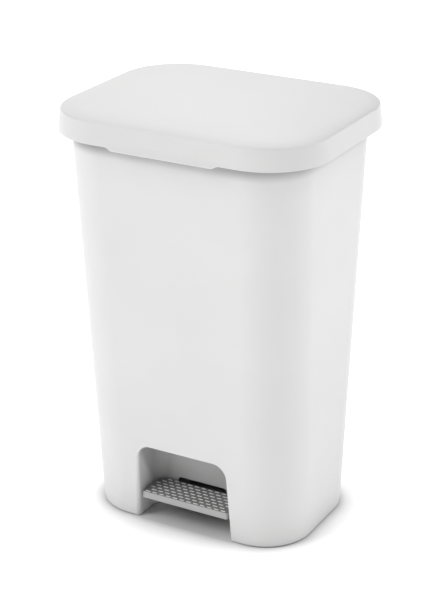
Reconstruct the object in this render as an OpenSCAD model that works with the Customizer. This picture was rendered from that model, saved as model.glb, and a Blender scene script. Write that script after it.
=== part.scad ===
// Step-on kitchen bin: a tapered one-piece tub with a pedal recess, a lipped lid on two
// pin hinges, and a lever and lift rod that open the lid from the pedal.
// Z is up, the floor is z = 0, the front is -Y, and x = y = 0 is the centre of the lid.

/* [Tub] */
// Width of the tub across its rim
tub_top_w = 373; // [340:0.1:450]
// Depth of the tub across its rim
tub_top_d = 311.6; // [280:0.1:380]
// Width of the tub at the floor
tub_base_w = 345.4; // [320:0.1:420]
// Depth of the tub at the floor
tub_base_d = 238.2; // [225:0.1:310]
// How far the middle of the base lies behind the middle of the rim
base_back = 4.3; // [0:0.1:8]
// Height of the rim above the floor
tub_h = 624; // [500:1:760]
// Radius of the four upright corners
corner_r = 75; // [50:1:95]
// Thickness of the moulded walls
wall = 2.5; // [2:0.1:4]
// Height of the raised floor inside the tub
floor_z = 60; // [56:1:80]
// Rounding of the tub's bottom edge
foot_edge = 3; // [1:0.5:5]
// How far the rim bead stands out
rim_out = 3; // [2:0.5:5]
// Height of the rim bead
rim_h = 6; // [4:0.5:12]

/* [Pedal recess] */
// Width of the recess at the floor
rec_w = 157; // [120:1:200]
// Width of the recess under its top corners
rec_top_w = 147; // [110:1:190]
// Height of the recess
rec_h = 127; // [100:1:170]
// Radius of the recess's top corners
rec_r = 20; // [8:1:30]
// Radius of the upright corners at the back of the recess
rec_back_r = 18; // [6:1:30]
// Distance from the lid's centre forward to the recess's back wall
rec_y = 58; // [45:1:70]
// Width of the slot that the lever comes through
slot_w = 84; // [76:1:110]
// Height of that slot
slot_h = 51; // [48:1:54]
// Radius of the slot's top corners
slot_r = 6; // [2:1:10]

/* [Lid] */
// How far the lid reaches past the rim at each side
lid_over_w = 21.5; // [14:0.5:30]
// How far the lid reaches past the rim at the front and the back
lid_over_d = 14.3; // [13:0.1:22]
// How far the skirt hangs below the rim
skirt_drop = 24; // [16:1:36]
// Height of the skirt up to the edge of the top
skirt_h = 30; // [24:1:48]
// How much the lid rises from the skirt's edge to its middle
crown_h = 10; // [6:1:24]
// Wall of the lid
lid_wall = 2.5; // [2:0.1:4]
// Width of the finger lip along the front
lip_w = 174; // [80:1:200]
// How far the lip hangs below the skirt
lip_h = 4; // [2:0.5:6]
// How far the lip flares forward
lip_out = 2; // [1:0.5:4]
// Diameter of the soft pads under the lid
pad_d = 8; // [6:0.5:12]
// Gap between the pads and the rim
pad_gap = 0.3; // [0.3:0.1:1]

/* [Hinges] */
// Distance of each hinge from the middle
hinge_x = 85; // [60:1:95]
// How far the hinge axis lies behind the tub's back wall
hinge_out = 6.9; // [6.8:0.1:8]
// How far the hinge axis lies below the rim
hinge_drop = 20; // [18:1:24]
// Diameter of the hinge pins
hinge_pin_d = 4; // [3:0.1:4.6]
// Outer radius of the hinge knuckles
knuckle_r = 4.3; // [4:0.1:4.6]
// Width of the lid's knuckle
ear_w = 14; // [8:1:20]
// Thickness of each lug beside it
lug_t = 5; // [3:0.5:8]
// Width of the hinge plate
plate_w = 46; // [36:1:60]
// Height of the hinge plate
plate_h = 38; // [34:1:50]
// Thickness of the hinge plate
plate_t = 2; // [1.5:0.1:2.4]

/* [Lift rod] */
// Diameter of the lift rod
rod_d = 5; // [4:0.5:7]
// How far the rod's axis lies inside the plane of the back wall
rod_in = 6.6; // [6:0.1:8]
// Width of the channel down the back of the tub
chan_w = 44; // [36:1:60]
// Depth of that channel
chan_d = 17; // [16:0.5:22]
// Distance from the hinge axis to the pin that lifts the lid
lift_r = 16; // [14:0.5:17]
// Angle of that pin below the hinge axis with the lid shut
lift_a = 40; // [30:1:45]
// Diameter of the pins at the two ends of the rod
link_pin_d = 5; // [4:0.5:6]
// Play of those pins in the rod's fittings, all round
link_play = 0.7; // [0.6:0.05:1]
// Thickness of the end fittings on the rod
fitting_t = 6; // [4:0.5:8]
// Height of each rod guide
guide_h = 14; // [8:1:24]

/* [Pedal] */
// Width of the tread
tread_w = 145; // [110:1:155]
// Depth of the tread
tread_d = 53.3; // [40:0.1:54]
// Height of the tread's top above the floor
tread_z = 45; // [43:0.5:47]
// Height of the tread's front face
tread_h = 11; // [8:0.5:14]
// Wall of the tread
tread_wall = 3; // [2:0.5:4]
// Gap behind the tread
tread_gap = 2; // [1.5:0.5:4]
// Length of one grip bar
bar_l = 7.6; // [4:0.1:10]
// Width of one grip bar
bar_w = 3.4; // [1.5:0.1:5]
// Height of the grip bars
bar_h = 0.8; // [0.4:0.1:1.2]
// Distance between neighbouring bars along a row
bar_pitch = 11.7; // [10.5:0.1:16]
// Distance between rows of bars
row_pitch = 7.7; // [5.5:0.1:12]
// Distance of the pivot axle behind the lid's centre
pivot_y = 20; // [10:1:30]
// Height of the pivot axle above the floor
pivot_z = 30; // [28:0.5:32]
// Diameter of the pivot axle
axle_d = 8; // [6:0.1:10]
// Outer radius of the lever's hub
hub_r = 8.5; // [7:0.5:10]
// Width of the lever
lever_w = 67; // [50:1:70]
// Thickness of the lever's plate
lever_t = 4; // [3:0.5:5]
// How far the plate steps down behind the tread
lever_step = 8; // [4:0.5:9]
// Length from the pivot axle back to the lever's link pin
tail_l = 98.1; // [90:0.1:105]
// Angle of the lever's tail below level with the lid shut
tail_a = 6; // [4:0.5:8]

/* [Feet and fasteners] */
// Diameter of the foot pads
foot_d = 20; // [14:1:26]
// How far the pads hold the tub's edge off the floor
foot_gap = 0.8; // [0.5:0.1:2]
// Diameter of a screw's shank
screw_d = 3; // [2.5:0.1:4]
// Diameter of a screw's head
head_d = 6.4; // [5:0.1:8]
// Height of a screw's head
head_h = 2; // [1.2:0.1:3]
// Radial clearance of a turning pin
run_fit = 0.06; // [0.03:0.01:0.1]
// Radial clearance of a screw or a fixed pin in its hole
fix_fit = 0.05; // [0.02:0.01:0.1]
// Gap between neighbouring pieces that move past each other
side_gap = 0.5; // [0.3:0.1:1]

/* [Hidden] */
eps = 0.01;
white = [0.93, 0.93, 0.925];
grey = [0.45, 0.46, 0.47];
steel = [0.72, 0.73, 0.75];
dark = [0.16, 0.16, 0.17];

// Slopes of the front and back walls, and places along them
front_rise = ((tub_top_d - tub_base_d) / 2 + base_back) / tub_h;
back_rise = ((tub_top_d - tub_base_d) / 2 - base_back) / tub_h;
lean = atan(back_rise);
function back_y(z) = tub_base_d / 2 + base_back + back_rise * z;
function front_y(z) = base_back - tub_base_d / 2 - front_rise * z;
function form_w(z) = tub_base_w + (tub_top_w - tub_base_w) * z / tub_h;
function form_d(z) = tub_base_d + (tub_top_d - tub_base_d) * z / tub_h;

// Lid
lid_w = tub_top_w + 2 * lid_over_w;
lid_d = tub_top_d + 2 * lid_over_d;
lid_r = corner_r + (lid_over_w + lid_over_d) / 2 + 1.7;
skirt_z = tub_h - skirt_drop;
// Each step of the lid's outer shape: height above the skirt's foot, inset from it
lid_steps = [[0, 0], [skirt_h - 3.5, 3.4], [skirt_h, 4.6], [skirt_h + 2.6, 7.6],
    [skirt_h + 4.4, 13], [skirt_h + 0.68 * crown_h, 42], [skirt_h + 0.9 * crown_h, 84],
    [skirt_h + crown_h, 128]];
// Underside of the lid above the rim
under_z = skirt_z + skirt_h + 4.4 - lid_wall;

// Hinge line and lift linkage
hinge_z = tub_h - hinge_drop;
hinge_y = back_y(hinge_z) + hinge_out;
lug_x = ear_w / 2 + side_gap;
lift_y = hinge_y - lift_r * cos(lift_a);
lift_z = hinge_z - lift_r * sin(lift_a);
tail_y = pivot_y + tail_l * cos(tail_a);
tail_z = pivot_z - tail_l * sin(tail_a);
function rod_y(z) = back_y(z) - rod_in;
// Each slot lets its pin swing to and fro as the rod rises
head_slot = lift_r * (1 - cos(lift_a)) * 0.6 + link_play + 0.1;
foot_slot = tail_l * (1 - cos(tail_a)) + link_play + 0.4;
eye_r = link_pin_d / 2 + 3.4;
socket_h = 18;
rod_gap = eye_r + 6;
cheek_x = fitting_t / 2 + side_gap;
cheek_t = 3.5;
horn_z = tub_h - 3;
plug_l = 9;

// Pedal
tread_back = -rec_y - tread_gap;
tread_front = tread_back - tread_d;
tread_base = tread_z - tread_h;
tread_r = rec_back_r - 2;
lever_top = tread_z - 3.5;
lever_front = tread_front + tread_wall + 3;
bar_rows = floor((tread_d - 1) / row_pitch) + 1;
bar_count = floor((tread_w - 4) / bar_pitch);
bearing_x = lever_w / 2 + side_gap;
bearing_t = 6;
boss_h = 8;
seat_z = floor_z - wall - boss_h;

// Fixings
hinge_screw_x = 15;
hinge_screw_z = hinge_z - 22;
bearing_screw_x = bearing_x + bearing_t + 8;
bearing_screw_y = 11;
post_x = tub_base_w / 2 - 38;
post_y = tub_base_d / 2 - 42;
tread_screw_x = 22;
tread_screw_y = tread_front + tread_d / 2;
horn_screw_x = 13;
horn_screw_y = lift_y + 4;

module rounded(w, d, r, n = 48) {
    square([w - 2 * r, d], center = true);
    square([w, d - 2 * r], center = true);
    for (x = [-1, 1], y = [-1, 1])
        translate([x * (w / 2 - r), y * (d / 2 - r)]) circle(r, $fn = n);
}

// One level slice of the tub's tapered form, drawn in by inset
module form_slice(z, inset, t = eps)
    translate([0, base_back * (1 - z / tub_h), z]) linear_extrude(t)
        rounded(form_w(z) - 2 * inset, form_d(z) - 2 * inset, corner_r - inset);

module lid_form(inset) hull() for (s = lid_steps)
    translate([0, 0, skirt_z + s[0] - inset])
        linear_extrude(eps) rounded(lid_w - 2 * (s[1] + inset), lid_d - 2 * (s[1] + inset),
            max(lid_r - s[1] - inset, 30), 64);

// Places a piece on the plane of the tub's back wall, its own y pointing out of the wall
module on_back(z) translate([0, back_y(z), z]) rotate([-lean, 0, 0]) children();

// Upright arch with slanted sides and round top corners, grown all round by g
function arch(g, n = 8) = let (h = rec_h + g, r = rec_r + g, a = rec_w / 2 + g,
    b = rec_top_w / 2 + g) concat([[-a, -2], [a, -2]],
    [for (i = [0 : n]) [b - r + r * cos(90 * i / n), h - r + r * sin(90 * i / n)]],
    [for (i = [0 : n]) [r - b - r * sin(90 * i / n), h - r + r * cos(90 * i / n)]]);

// Plan of the recess, square at the front and round at its back corners
function rec_plan(g, n = 8) = let (r = rec_back_r + g, a = rec_w / 2 + g, y = g - rec_y)
    concat([[-a, -tub_top_d], [a, -tub_top_d]],
    [for (i = [0 : n]) [a - r + r * cos(90 * i / n), y - r + r * sin(90 * i / n)]],
    [for (i = [0 : n]) [r - a - r * sin(90 * i / n), y - r + r * cos(90 * i / n)]]);

module recess(g) intersection() {
    rotate([90, 0, 0]) linear_extrude(tub_top_d) polygon(arch(g));
    translate([0, 0, -2]) linear_extrude(rec_h + g + 4) polygon(rec_plan(g));
}

module channel(g) on_back(0)
    translate([-chan_w / 2 - g, -chan_d - g, -10])
        cube([chan_w + 2 * g, chan_d + g + 20, tub_h / cos(lean) + 30]);

module screw(l) {
    cylinder(d = head_d, h = head_h, $fn = 32);
    translate([0, 0, -l]) cylinder(d = screw_d, h = l, $fn = 24);
}

module tub() color(white) difference() {
    union() {
        difference() {
            union() {
                hull() {
                    form_slice(foot_gap, foot_edge);
                    form_slice(foot_gap + foot_edge, 0);
                    form_slice(tub_h - eps, 0);
                }
                translate([0, 0, tub_h - rim_h]) linear_extrude(rim_h)
                    rounded(tub_top_w + 2 * rim_out, tub_top_d + 2 * rim_out,
                        corner_r + rim_out);
            }
            // Room for the bag, with the recess and the channel standing into it
            difference() {
                hull() {
                    form_slice(floor_z, wall);
                    form_slice(tub_h + 1, wall);
                }
                recess(wall);
                channel(wall);
            }
            // Open space under the raised floor
            difference() {
                hull() {
                    form_slice(-1, wall);
                    form_slice(floor_z - wall, wall);
                }
                recess(wall);
            }
        }
        // Bosses and ribs
        for (x = [-1, 1]) {
            for (y = [-post_y, post_y]) translate([x * post_x, y + base_back, foot_gap + 1.2])
                cylinder(d = foot_d, h = floor_z - wall - foot_gap - 1, $fn = 48);
            for (y = [-bearing_screw_y, bearing_screw_y])
                translate([x * bearing_screw_x, pivot_y + y, seat_z])
                    cylinder(d = 9, h = boss_h + 1, $fn = 32);
            for (i = [-1, 1]) translate([x * hinge_x + i * hinge_screw_x, 0, 0])
                on_back(hinge_screw_z) rotate([90, 0, 0]) translate([0, 0, wall - 0.5])
                    cylinder(d = 8, h = plug_l - wall, $fn = 32);
            translate([x * (bearing_screw_x + 8) - wall / 2, wall / 2 - rec_y, 8])
                cube([wall, back_y(0) - 4 + rec_y - wall, floor_z - 9]);
        }
    }
    recess(0);
    channel(0);
    // Slot for the lever
    translate([0, -rec_y - 1, 0]) rotate([-90, 0, 0]) linear_extrude(wall + 2) {
        translate([-slot_w / 2, slot_r - slot_h]) square([slot_w, slot_h]);
        translate([slot_r - slot_w / 2, -slot_h]) square([slot_w - 2 * slot_r, slot_h]);
        for (x = [-1, 1]) translate([x * (slot_w / 2 - slot_r), slot_r - slot_h])
            circle(slot_r, $fn = 32);
    }
    // Gaps in the rim bead for the hinges
    for (x = [-1, 1]) translate([x * hinge_x - plate_w / 2 - 2, back_y(tub_h), tub_h - rim_h - 1])
        cube([plate_w + 4, rim_out + 5, rim_h + 2]);
    // Blind holes for the screws and the pads' plugs
    for (x = [-1, 1]) {
        for (y = [-post_y, post_y]) translate([x * post_x, y + base_back, foot_gap])
            cylinder(d = foot_d - 7, h = plug_l + 2, $fn = 48);
        for (y = [-bearing_screw_y, bearing_screw_y])
            translate([x * bearing_screw_x, pivot_y + y, seat_z - 1])
                cylinder(d = screw_d + 2 * fix_fit, h = boss_h + 1, $fn = 24);
        for (i = [-1, 1]) translate([x * hinge_x + i * hinge_screw_x, 0, 0])
            on_back(hinge_screw_z) rotate([90, 0, 0]) translate([0, 0, -1])
                cylinder(d = screw_d + 2 * fix_fit, h = plug_l - 1, $fn = 24);
    }
}

module foot_pads() color(dark) for (x = [-1, 1], y = [-post_y, post_y])
    translate([x * post_x, y + base_back, 0]) {
        cylinder(d = foot_d, h = foot_gap + 1.2, $fn = 48);
        cylinder(d = foot_d - 7 - 2 * fix_fit, h = foot_gap + plug_l, $fn = 48);
    }

// Ends of the finger lip slope back into the skirt
module finger_lip() intersection() {
    translate([-lip_w / 2, 0, 0]) rotate([90, 0, 90]) linear_extrude(lip_w)
        polygon([[-lid_d / 2 + 0.2, skirt_z + 3], [-lid_d / 2 - lip_out, skirt_z - lip_h + 0.6],
            [-lid_d / 2 - lip_out + 0.3, skirt_z - lip_h],
            [-lid_d / 2 - lip_out + 1.6, skirt_z - lip_h],
            [-lid_d / 2 + lid_wall, skirt_z + 0.2], [-lid_d / 2 + lid_wall - 0.4, skirt_z + 3]]);
    rotate([90, 0, 0]) linear_extrude(lid_d) polygon([[-lip_w / 2, skirt_z + 3],
        [-lip_w / 2, skirt_z], [-lip_w / 2 + 9, skirt_z - lip_h - 1],
        [lip_w / 2 - 9, skirt_z - lip_h - 1], [lip_w / 2, skirt_z], [lip_w / 2, skirt_z + 3]]);
}

module lid() color(white) difference() {
    union() {
        difference() {
            lid_form(0);
            lid_form(lid_wall);
        }
        finger_lip();
        // Knuckles that turn on the hinge pins
        for (x = [-1, 1]) translate([x * hinge_x - ear_w / 2, hinge_y, hinge_z]) {
            rotate([0, 90, 0]) cylinder(r = knuckle_r, h = ear_w, $fn = 48);
            translate([0, 0, -knuckle_r + 0.5])
                cube([ear_w, lid_d / 2 - hinge_y - lid_wall / 2, 2 * knuckle_r - 1]);
        }
        // Bosses for the horn's screws
        for (x = [-1, 1]) translate([x * horn_screw_x, horn_screw_y, horn_z])
            cylinder(d = 8, h = under_z - horn_z + 1, $fn = 32);
    }
    for (x = [-1, 1]) {
        translate([x * hinge_x - ear_w, hinge_y, hinge_z]) rotate([0, 90, 0])
            cylinder(d = hinge_pin_d + 2 * run_fit, h = 2 * ear_w, $fn = 48);
        translate([x * horn_screw_x, horn_screw_y, horn_z - 1])
            cylinder(d = screw_d + 2 * fix_fit, h = plug_l - 1, $fn = 24);
    }
}

// Two pads rest on the rim at the front and one at each side
module lid_pads() color(dark) intersection() {
    lid_form(lid_wall);
    for (x = [-1, 1], p = [[tub_top_w / 2 - corner_r, -tub_top_d / 2], [tub_top_w / 2, 44]])
        translate([x * p[0], p[1], tub_h + pad_gap])
            cylinder(d = pad_d, h = skirt_h, $fn = 32);
}

module hinge_bracket() color(white) difference() {
    union() {
        on_back(hinge_z) translate([-plate_w / 2, 0, knuckle_r - plate_h])
            cube([plate_w, plate_t, plate_h]);
        for (x = [lug_x, -lug_x - lug_t]) translate([x, hinge_y, hinge_z]) {
            rotate([0, 90, 0]) cylinder(r = knuckle_r, h = lug_t, $fn = 48);
            translate([0, -hinge_out - 1, -knuckle_r])
                cube([lug_t, hinge_out + 1, 2 * knuckle_r]);
        }
    }
    on_back(hinge_z) translate([-plate_w, -20, -60]) cube([2 * plate_w, 20, 120]);
    translate([-plate_w / 2, hinge_y, hinge_z]) rotate([0, 90, 0])
        cylinder(d = hinge_pin_d + 2 * fix_fit, h = plate_w, $fn = 48);
    for (i = [-1, 1]) translate([i * hinge_screw_x, 0, 0]) on_back(hinge_screw_z)
        rotate([90, 0, 0]) translate([0, 0, -plate_t - 1])
            cylinder(d = screw_d + 2 * fix_fit, h = plate_t + 2, $fn = 24);
}

module hinge_bracket_left() translate([-hinge_x, 0, 0]) hinge_bracket();
module hinge_bracket_right() translate([hinge_x, 0, 0]) hinge_bracket();

module hinge_screws() color(steel) for (x = [-1, 1], i = [-1, 1])
    translate([x * hinge_x + i * hinge_screw_x, 0, 0]) on_back(hinge_screw_z)
        rotate([-90, 0, 0]) translate([0, 0, plate_t]) screw(plate_t + plug_l - 3);

module hinge_pin() color(steel) translate([-lug_x - lug_t - 0.5, hinge_y, hinge_z])
    rotate([0, 90, 0]) {
        cylinder(d = hinge_pin_d, h = 2 * (lug_x + lug_t) + 1, $fn = 48);
        translate([0, 0, -1]) cylinder(d = hinge_pin_d + 2.4, h = 1.5 - eps, $fn = 48);
    }

module hinge_pin_left() translate([-hinge_x, 0, 0]) hinge_pin();
module hinge_pin_right() translate([hinge_x, 0, 0]) mirror([1, 0, 0]) hinge_pin();

// Fork under the lid that carries the lift pin
module lift_horn() color(white) difference() {
    union() {
        translate([-18, lift_y - 6, horn_z - 3]) cube([36, 17, 3]);
        for (x = [cheek_x, -cheek_x - cheek_t]) translate([x, 0, 0]) {
            translate([0, lift_y, lift_z]) rotate([0, 90, 0])
                cylinder(r = link_pin_d / 2 + 3, h = cheek_t, $fn = 40);
            rotate([90, 0, 90]) linear_extrude(cheek_t) polygon([
                [lift_y - link_pin_d / 2 - 3, lift_z], [lift_y + link_pin_d / 2 + 3, lift_z],
                [lift_y + 11, horn_z - 2], [lift_y - 6, horn_z - 2]]);
        }
    }
    translate([-20, lift_y, lift_z]) rotate([0, 90, 0])
        cylinder(d = link_pin_d + 2 * fix_fit, h = 40, $fn = 48);
    for (x = [-1, 1]) translate([x * horn_screw_x, horn_screw_y, horn_z - 4])
        cylinder(d = screw_d + 2 * fix_fit, h = 6, $fn = 24);
}

module horn_screws() color(steel) for (x = [-1, 1])
    translate([x * horn_screw_x, horn_screw_y, horn_z - 3]) rotate([180, 0, 0])
        screw(plug_l - 0.5);

module link_pin() color(steel) rotate([0, 90, 0])
    cylinder(d = link_pin_d, h = 2 * (cheek_x + cheek_t) + 1, center = true, $fn = 48);

module horn_pin() translate([0, lift_y, lift_z]) link_pin();
module lever_pin() translate([0, tail_y, tail_z]) link_pin();

// Places a piece on the rod's axis, level with the height z
module on_rod(z) translate([0, rod_y(z), z]) rotate([-lean, 0, 0]) children();

module lift_rod() color(steel) on_rod(tail_z) translate([0, 0, rod_gap])
    cylinder(d = rod_d, h = (lift_z - tail_z) / cos(lean) - 2 * rod_gap, $fn = 48);

// End fitting of the rod: a flat eye with a level slot for the link pin, and above it a
// socket for the rod. slot is how far the pin can move each way.
module fitting(slot) color(dark) difference() {
    union() {
        translate([-fitting_t / 2, -slot - link_pin_d / 2 - 2.6, -eye_r])
            cube([fitting_t, 2 * slot + link_pin_d + 5.2, 2 * eye_r]);
        translate([-fitting_t / 2, -rod_d / 2 - 2, 0]) cube([fitting_t, rod_d + 4, eye_r + 4]);
        translate([0, 0, eye_r + 1.3]) cylinder(d = rod_d + 4, h = socket_h, $fn = 40);
    }
    rotate([0, 90, 0]) translate([0, 0, -10]) linear_extrude(20) {
        square([link_pin_d + 2 * link_play, 2 * slot], center = true);
        for (y = [-slot, slot]) translate([0, y]) circle(d = link_pin_d + 2 * link_play, $fn = 48);
    }
    translate([0, 0, rod_gap]) cylinder(d = rod_d + 2 * fix_fit, h = socket_h, $fn = 48);
}

module rod_head() on_rod(lift_z) mirror([0, 0, 1]) fitting(head_slot);
module rod_foot() on_rod(tail_z) fitting(foot_slot);

module guide(z) color(dark) on_rod(z) difference() {
    union() {
        translate([-chan_w / 2 + 0.1, rod_in - chan_d + 0.1, -guide_h / 2])
            cube([chan_w - 0.2, 5, guide_h]);
        translate([-6, rod_in - chan_d + 1, -guide_h / 2]) cube([12, chan_d - rod_in - 1, guide_h]);
        cylinder(r = 6, h = guide_h, center = true, $fn = 48);
        for (x = [-1, 1]) translate([x * (chan_w / 2 - 1.6) - 1.5, rod_in - chan_d + 1,
            -guide_h / 2]) cube([3, 11, guide_h]);
    }
    cylinder(d = rod_d + 2 * run_fit, h = guide_h + 2, center = true, $fn = 48);
}

module guide_upper() guide(lift_z - 66);
module guide_middle() guide((lift_z + tail_z) / 2);
module guide_lower() guide(tail_z + 90);

module pedal_lever() color(grey) difference() {
    union() {
        // Plate that carries the tread and steps down behind it, with three ribs under it
        translate([-lever_w / 2, 0, 0]) rotate([90, 0, 90]) linear_extrude(lever_w)
            polygon([[lever_front, lever_top], [tread_back - 8, lever_top],
                [tread_back + 2, lever_top - lever_step], [pivot_y, lever_top - lever_step],
                [pivot_y, lever_top - lever_step - lever_t],
                [tread_back, lever_top - lever_step - lever_t],
                [tread_back - 10, lever_top - lever_t], [lever_front, lever_top - lever_t]]);
        for (x = [-lever_w / 2, -1.5, lever_w / 2 - 3]) translate([x, 0, 0])
            rotate([90, 0, 90]) linear_extrude(3) polygon([[lever_front, lever_top - 1],
                [lever_front, lever_top - lever_t - 3], [-rec_y, pivot_z - hub_r + 2],
                [pivot_y, pivot_z - hub_r + 0.5], [pivot_y + 6, pivot_z],
                [pivot_y, lever_top - lever_step - 1], [tread_back + 2, lever_top - lever_step - 1],
                [tread_back - 8, lever_top - 1]]);
        translate([-lever_w / 2, pivot_y, pivot_z]) rotate([0, 90, 0])
            cylinder(r = hub_r, h = lever_w, $fn = 64);
        // Tail, forked at its end for the rod's foot
        translate([-cheek_x - cheek_t, 0, 0]) rotate([90, 0, 90])
            linear_extrude(2 * (cheek_x + cheek_t)) polygon([
                [pivot_y, pivot_z + hub_r - 0.5], [pivot_y + 0.4 * tail_l, pivot_z + 5.5],
                [tail_y, tail_z + eye_r], [tail_y, tail_z - eye_r],
                [pivot_y + 0.4 * tail_l, pivot_z - 10], [pivot_y, pivot_z - hub_r + 0.5]]);
        translate([-cheek_x - cheek_t, tail_y, tail_z]) rotate([0, 90, 0])
            cylinder(r = eye_r, h = 2 * (cheek_x + cheek_t), $fn = 48);
    }
    translate([-lever_w, pivot_y, pivot_z]) rotate([0, 90, 0])
        cylinder(d = axle_d + 2 * run_fit, h = 2 * lever_w, $fn = 64);
    translate([-20, tail_y, tail_z]) rotate([0, 90, 0])
        cylinder(d = link_pin_d + 2 * fix_fit, h = 40, $fn = 48);
    translate([-cheek_x, tail_y - 16, tail_z - 15]) cube([2 * cheek_x, 40, 40]);
    for (x = [-1, 1]) translate([x * tread_screw_x, tread_screw_y, lever_top - lever_t - 1])
        cylinder(d = screw_d + 2 * fix_fit, h = lever_t + 2, $fn = 24);
}

// Outline of the tread drawn in by g, with its back corners rounded to clear the recess
module tread_plan(g) {
    w = tread_w / 2 - g;
    r = tread_r - g;
    translate([-w, tread_front + g]) square([2 * w, tread_d - 2 * g - r]);
    translate([r - w, tread_front + g]) square([2 * (w - r), tread_d - 2 * g]);
    for (x = [-1, 1]) translate([x * (w - r), tread_back - g - r]) circle(r, $fn = 48);
}

module pedal_tread() color(grey) difference() {
    union() {
        translate([0, 0, tread_base]) linear_extrude(tread_h) tread_plan(0);
        // Staggered grip bars, none of them over the rounded back corners
        for (j = [0 : bar_rows - 1], i = [0 : bar_count - 1 - j % 2]) {
            x = (i - (bar_count - 1 - j % 2) / 2) * bar_pitch;
            y = tread_front + 1.2 + j * row_pitch;
            if (norm([max(abs(x) + bar_l / 2 - tread_w / 2 + tread_r, 0),
                max(y + bar_w - tread_back + tread_r, 0)]) < tread_r - 0.5)
                translate([x - bar_l / 2, y, tread_z - eps]) cube([bar_l, bar_w, bar_h + eps]);
        }
    }
    // Open underside, with bosses left for the screws
    difference() {
        translate([0, 0, tread_base - 1]) linear_extrude(lever_top - tread_base + 1)
            tread_plan(tread_wall);
        translate([-tread_w, tread_front - 1, 0]) cube([2 * tread_w, tread_wall + 1, tread_z]);
        for (x = [-lever_w / 2 - 6, lever_w / 2 + 3])
            translate([x, tread_front, tread_base]) cube([3, tread_d, tread_h]);
    }
    // Way through the back wall for the lever
    translate([-lever_w / 2 - side_gap, tread_back - tread_wall - 1, tread_base - 1])
        cube([lever_w + 2 * side_gap, tread_wall + 2, lever_top - tread_base + 1]);
    for (x = [-1, 1]) translate([x * tread_screw_x, tread_screw_y, lever_top - 1])
        cylinder(d = screw_d + 2 * fix_fit, h = 3.4, $fn = 24);
}

module tread_screws() color(steel) for (x = [-1, 1])
    translate([x * tread_screw_x, tread_screw_y, lever_top - lever_t]) rotate([180, 0, 0])
        screw(lever_t + 2);

module pivot_axle() color(steel) translate([0, pivot_y, pivot_z]) rotate([0, 90, 0])
    cylinder(d = axle_d, h = 2 * (bearing_x + bearing_t) + 8, center = true, $fn = 64);

module axle_clips() color(steel) for (x = [-1, 1])
    translate([x * (bearing_x + bearing_t + 1.6), pivot_y, pivot_z]) rotate([0, 90, 0])
        difference() {
            cylinder(d = axle_d + 7, h = 1.6, center = true, $fn = 48);
            cylinder(d = axle_d + 2 * fix_fit, h = 4, center = true, $fn = 64);
        }

// Bearing for one end of the axle, hung from the bosses under the raised floor
module bearing() color(grey) difference() {
    union() {
        translate([bearing_x, pivot_y, pivot_z]) rotate([0, 90, 0])
            cylinder(d = axle_d + 9, h = bearing_t, $fn = 64);
        translate([bearing_x, pivot_y - axle_d / 2 - 4.5, pivot_z])
            cube([bearing_t, axle_d + 9, seat_z - pivot_z]);
        translate([bearing_x, pivot_y - bearing_screw_y - 6, seat_z - 3])
            cube([bearing_t + 14, 2 * bearing_screw_y + 12, 3]);
    }
    translate([bearing_x - 1, pivot_y, pivot_z]) rotate([0, 90, 0])
        cylinder(d = axle_d + 2 * fix_fit, h = bearing_t + 2, $fn = 64);
    for (y = [-bearing_screw_y, bearing_screw_y])
        translate([bearing_screw_x, pivot_y + y, seat_z - 4])
            cylinder(d = screw_d + 2 * fix_fit, h = 6, $fn = 24);
}

module bearing_left() mirror([1, 0, 0]) bearing();
module bearing_right() bearing();

module bearing_screws() color(steel) for (x = [-1, 1], y = [-bearing_screw_y, bearing_screw_y])
    translate([x * bearing_screw_x, pivot_y + y, seat_z - 3]) rotate([180, 0, 0])
        screw(boss_h + 1.5);

tub();
foot_pads();
lid();
lid_pads();
hinge_bracket_left();
hinge_bracket_right();
hinge_screws();
hinge_pin_left();
hinge_pin_right();
lift_horn();
horn_screws();
horn_pin();
lift_rod();
rod_head();
rod_foot();
guide_upper();
guide_middle();
guide_lower();
pedal_lever();
lever_pin();
pedal_tread();
tread_screws();
pivot_axle();
axle_clips();
bearing_left();
bearing_right();
bearing_screws();
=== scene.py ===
"""Step-on kitchen bin: the pieces that show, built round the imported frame, and a plain studio.

Everything is in metres. The floor is z = 0, the pedal faces -Y and the hinges are at +Y."""

import math

import bmesh
import bpy
import numpy as np
from mathutils import Matrix, Vector


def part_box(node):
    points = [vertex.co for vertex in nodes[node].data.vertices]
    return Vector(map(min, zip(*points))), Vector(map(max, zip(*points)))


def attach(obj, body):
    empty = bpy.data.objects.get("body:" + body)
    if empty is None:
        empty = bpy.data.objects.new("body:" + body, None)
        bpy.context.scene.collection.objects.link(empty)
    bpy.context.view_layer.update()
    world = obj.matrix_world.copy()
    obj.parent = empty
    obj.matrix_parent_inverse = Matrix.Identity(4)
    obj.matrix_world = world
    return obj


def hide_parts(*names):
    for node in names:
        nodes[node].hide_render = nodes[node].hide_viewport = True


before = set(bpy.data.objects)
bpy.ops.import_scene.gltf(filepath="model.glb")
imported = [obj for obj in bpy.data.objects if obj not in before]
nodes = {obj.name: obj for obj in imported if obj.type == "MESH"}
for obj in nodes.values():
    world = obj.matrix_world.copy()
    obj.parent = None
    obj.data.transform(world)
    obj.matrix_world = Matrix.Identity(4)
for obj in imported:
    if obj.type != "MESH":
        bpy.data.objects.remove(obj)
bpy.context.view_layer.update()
scene = bpy.context.scene
MM = 0.001


# ---------------------------------------------------------------- node nets


class Wire:
    """A socket that takes part in sums. Each operator adds a Math node to its net."""

    def __init__(self, net, socket):
        self.net, self.socket = net, socket

    def _math(self, operation, *values):
        return self.net.math(operation, *values)

    def __add__(self, other):
        return self._math("ADD", self, other)

    def __sub__(self, other):
        return self._math("SUBTRACT", self, other)

    def __rsub__(self, other):
        return self._math("SUBTRACT", other, self)

    def __mul__(self, other):
        return self._math("MULTIPLY", self, other)

    def __truediv__(self, other):
        return self._math("DIVIDE", self, other)

    def __pow__(self, other):
        return self._math("POWER", self, other)

    __radd__ = __add__
    __rmul__ = __mul__


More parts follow.
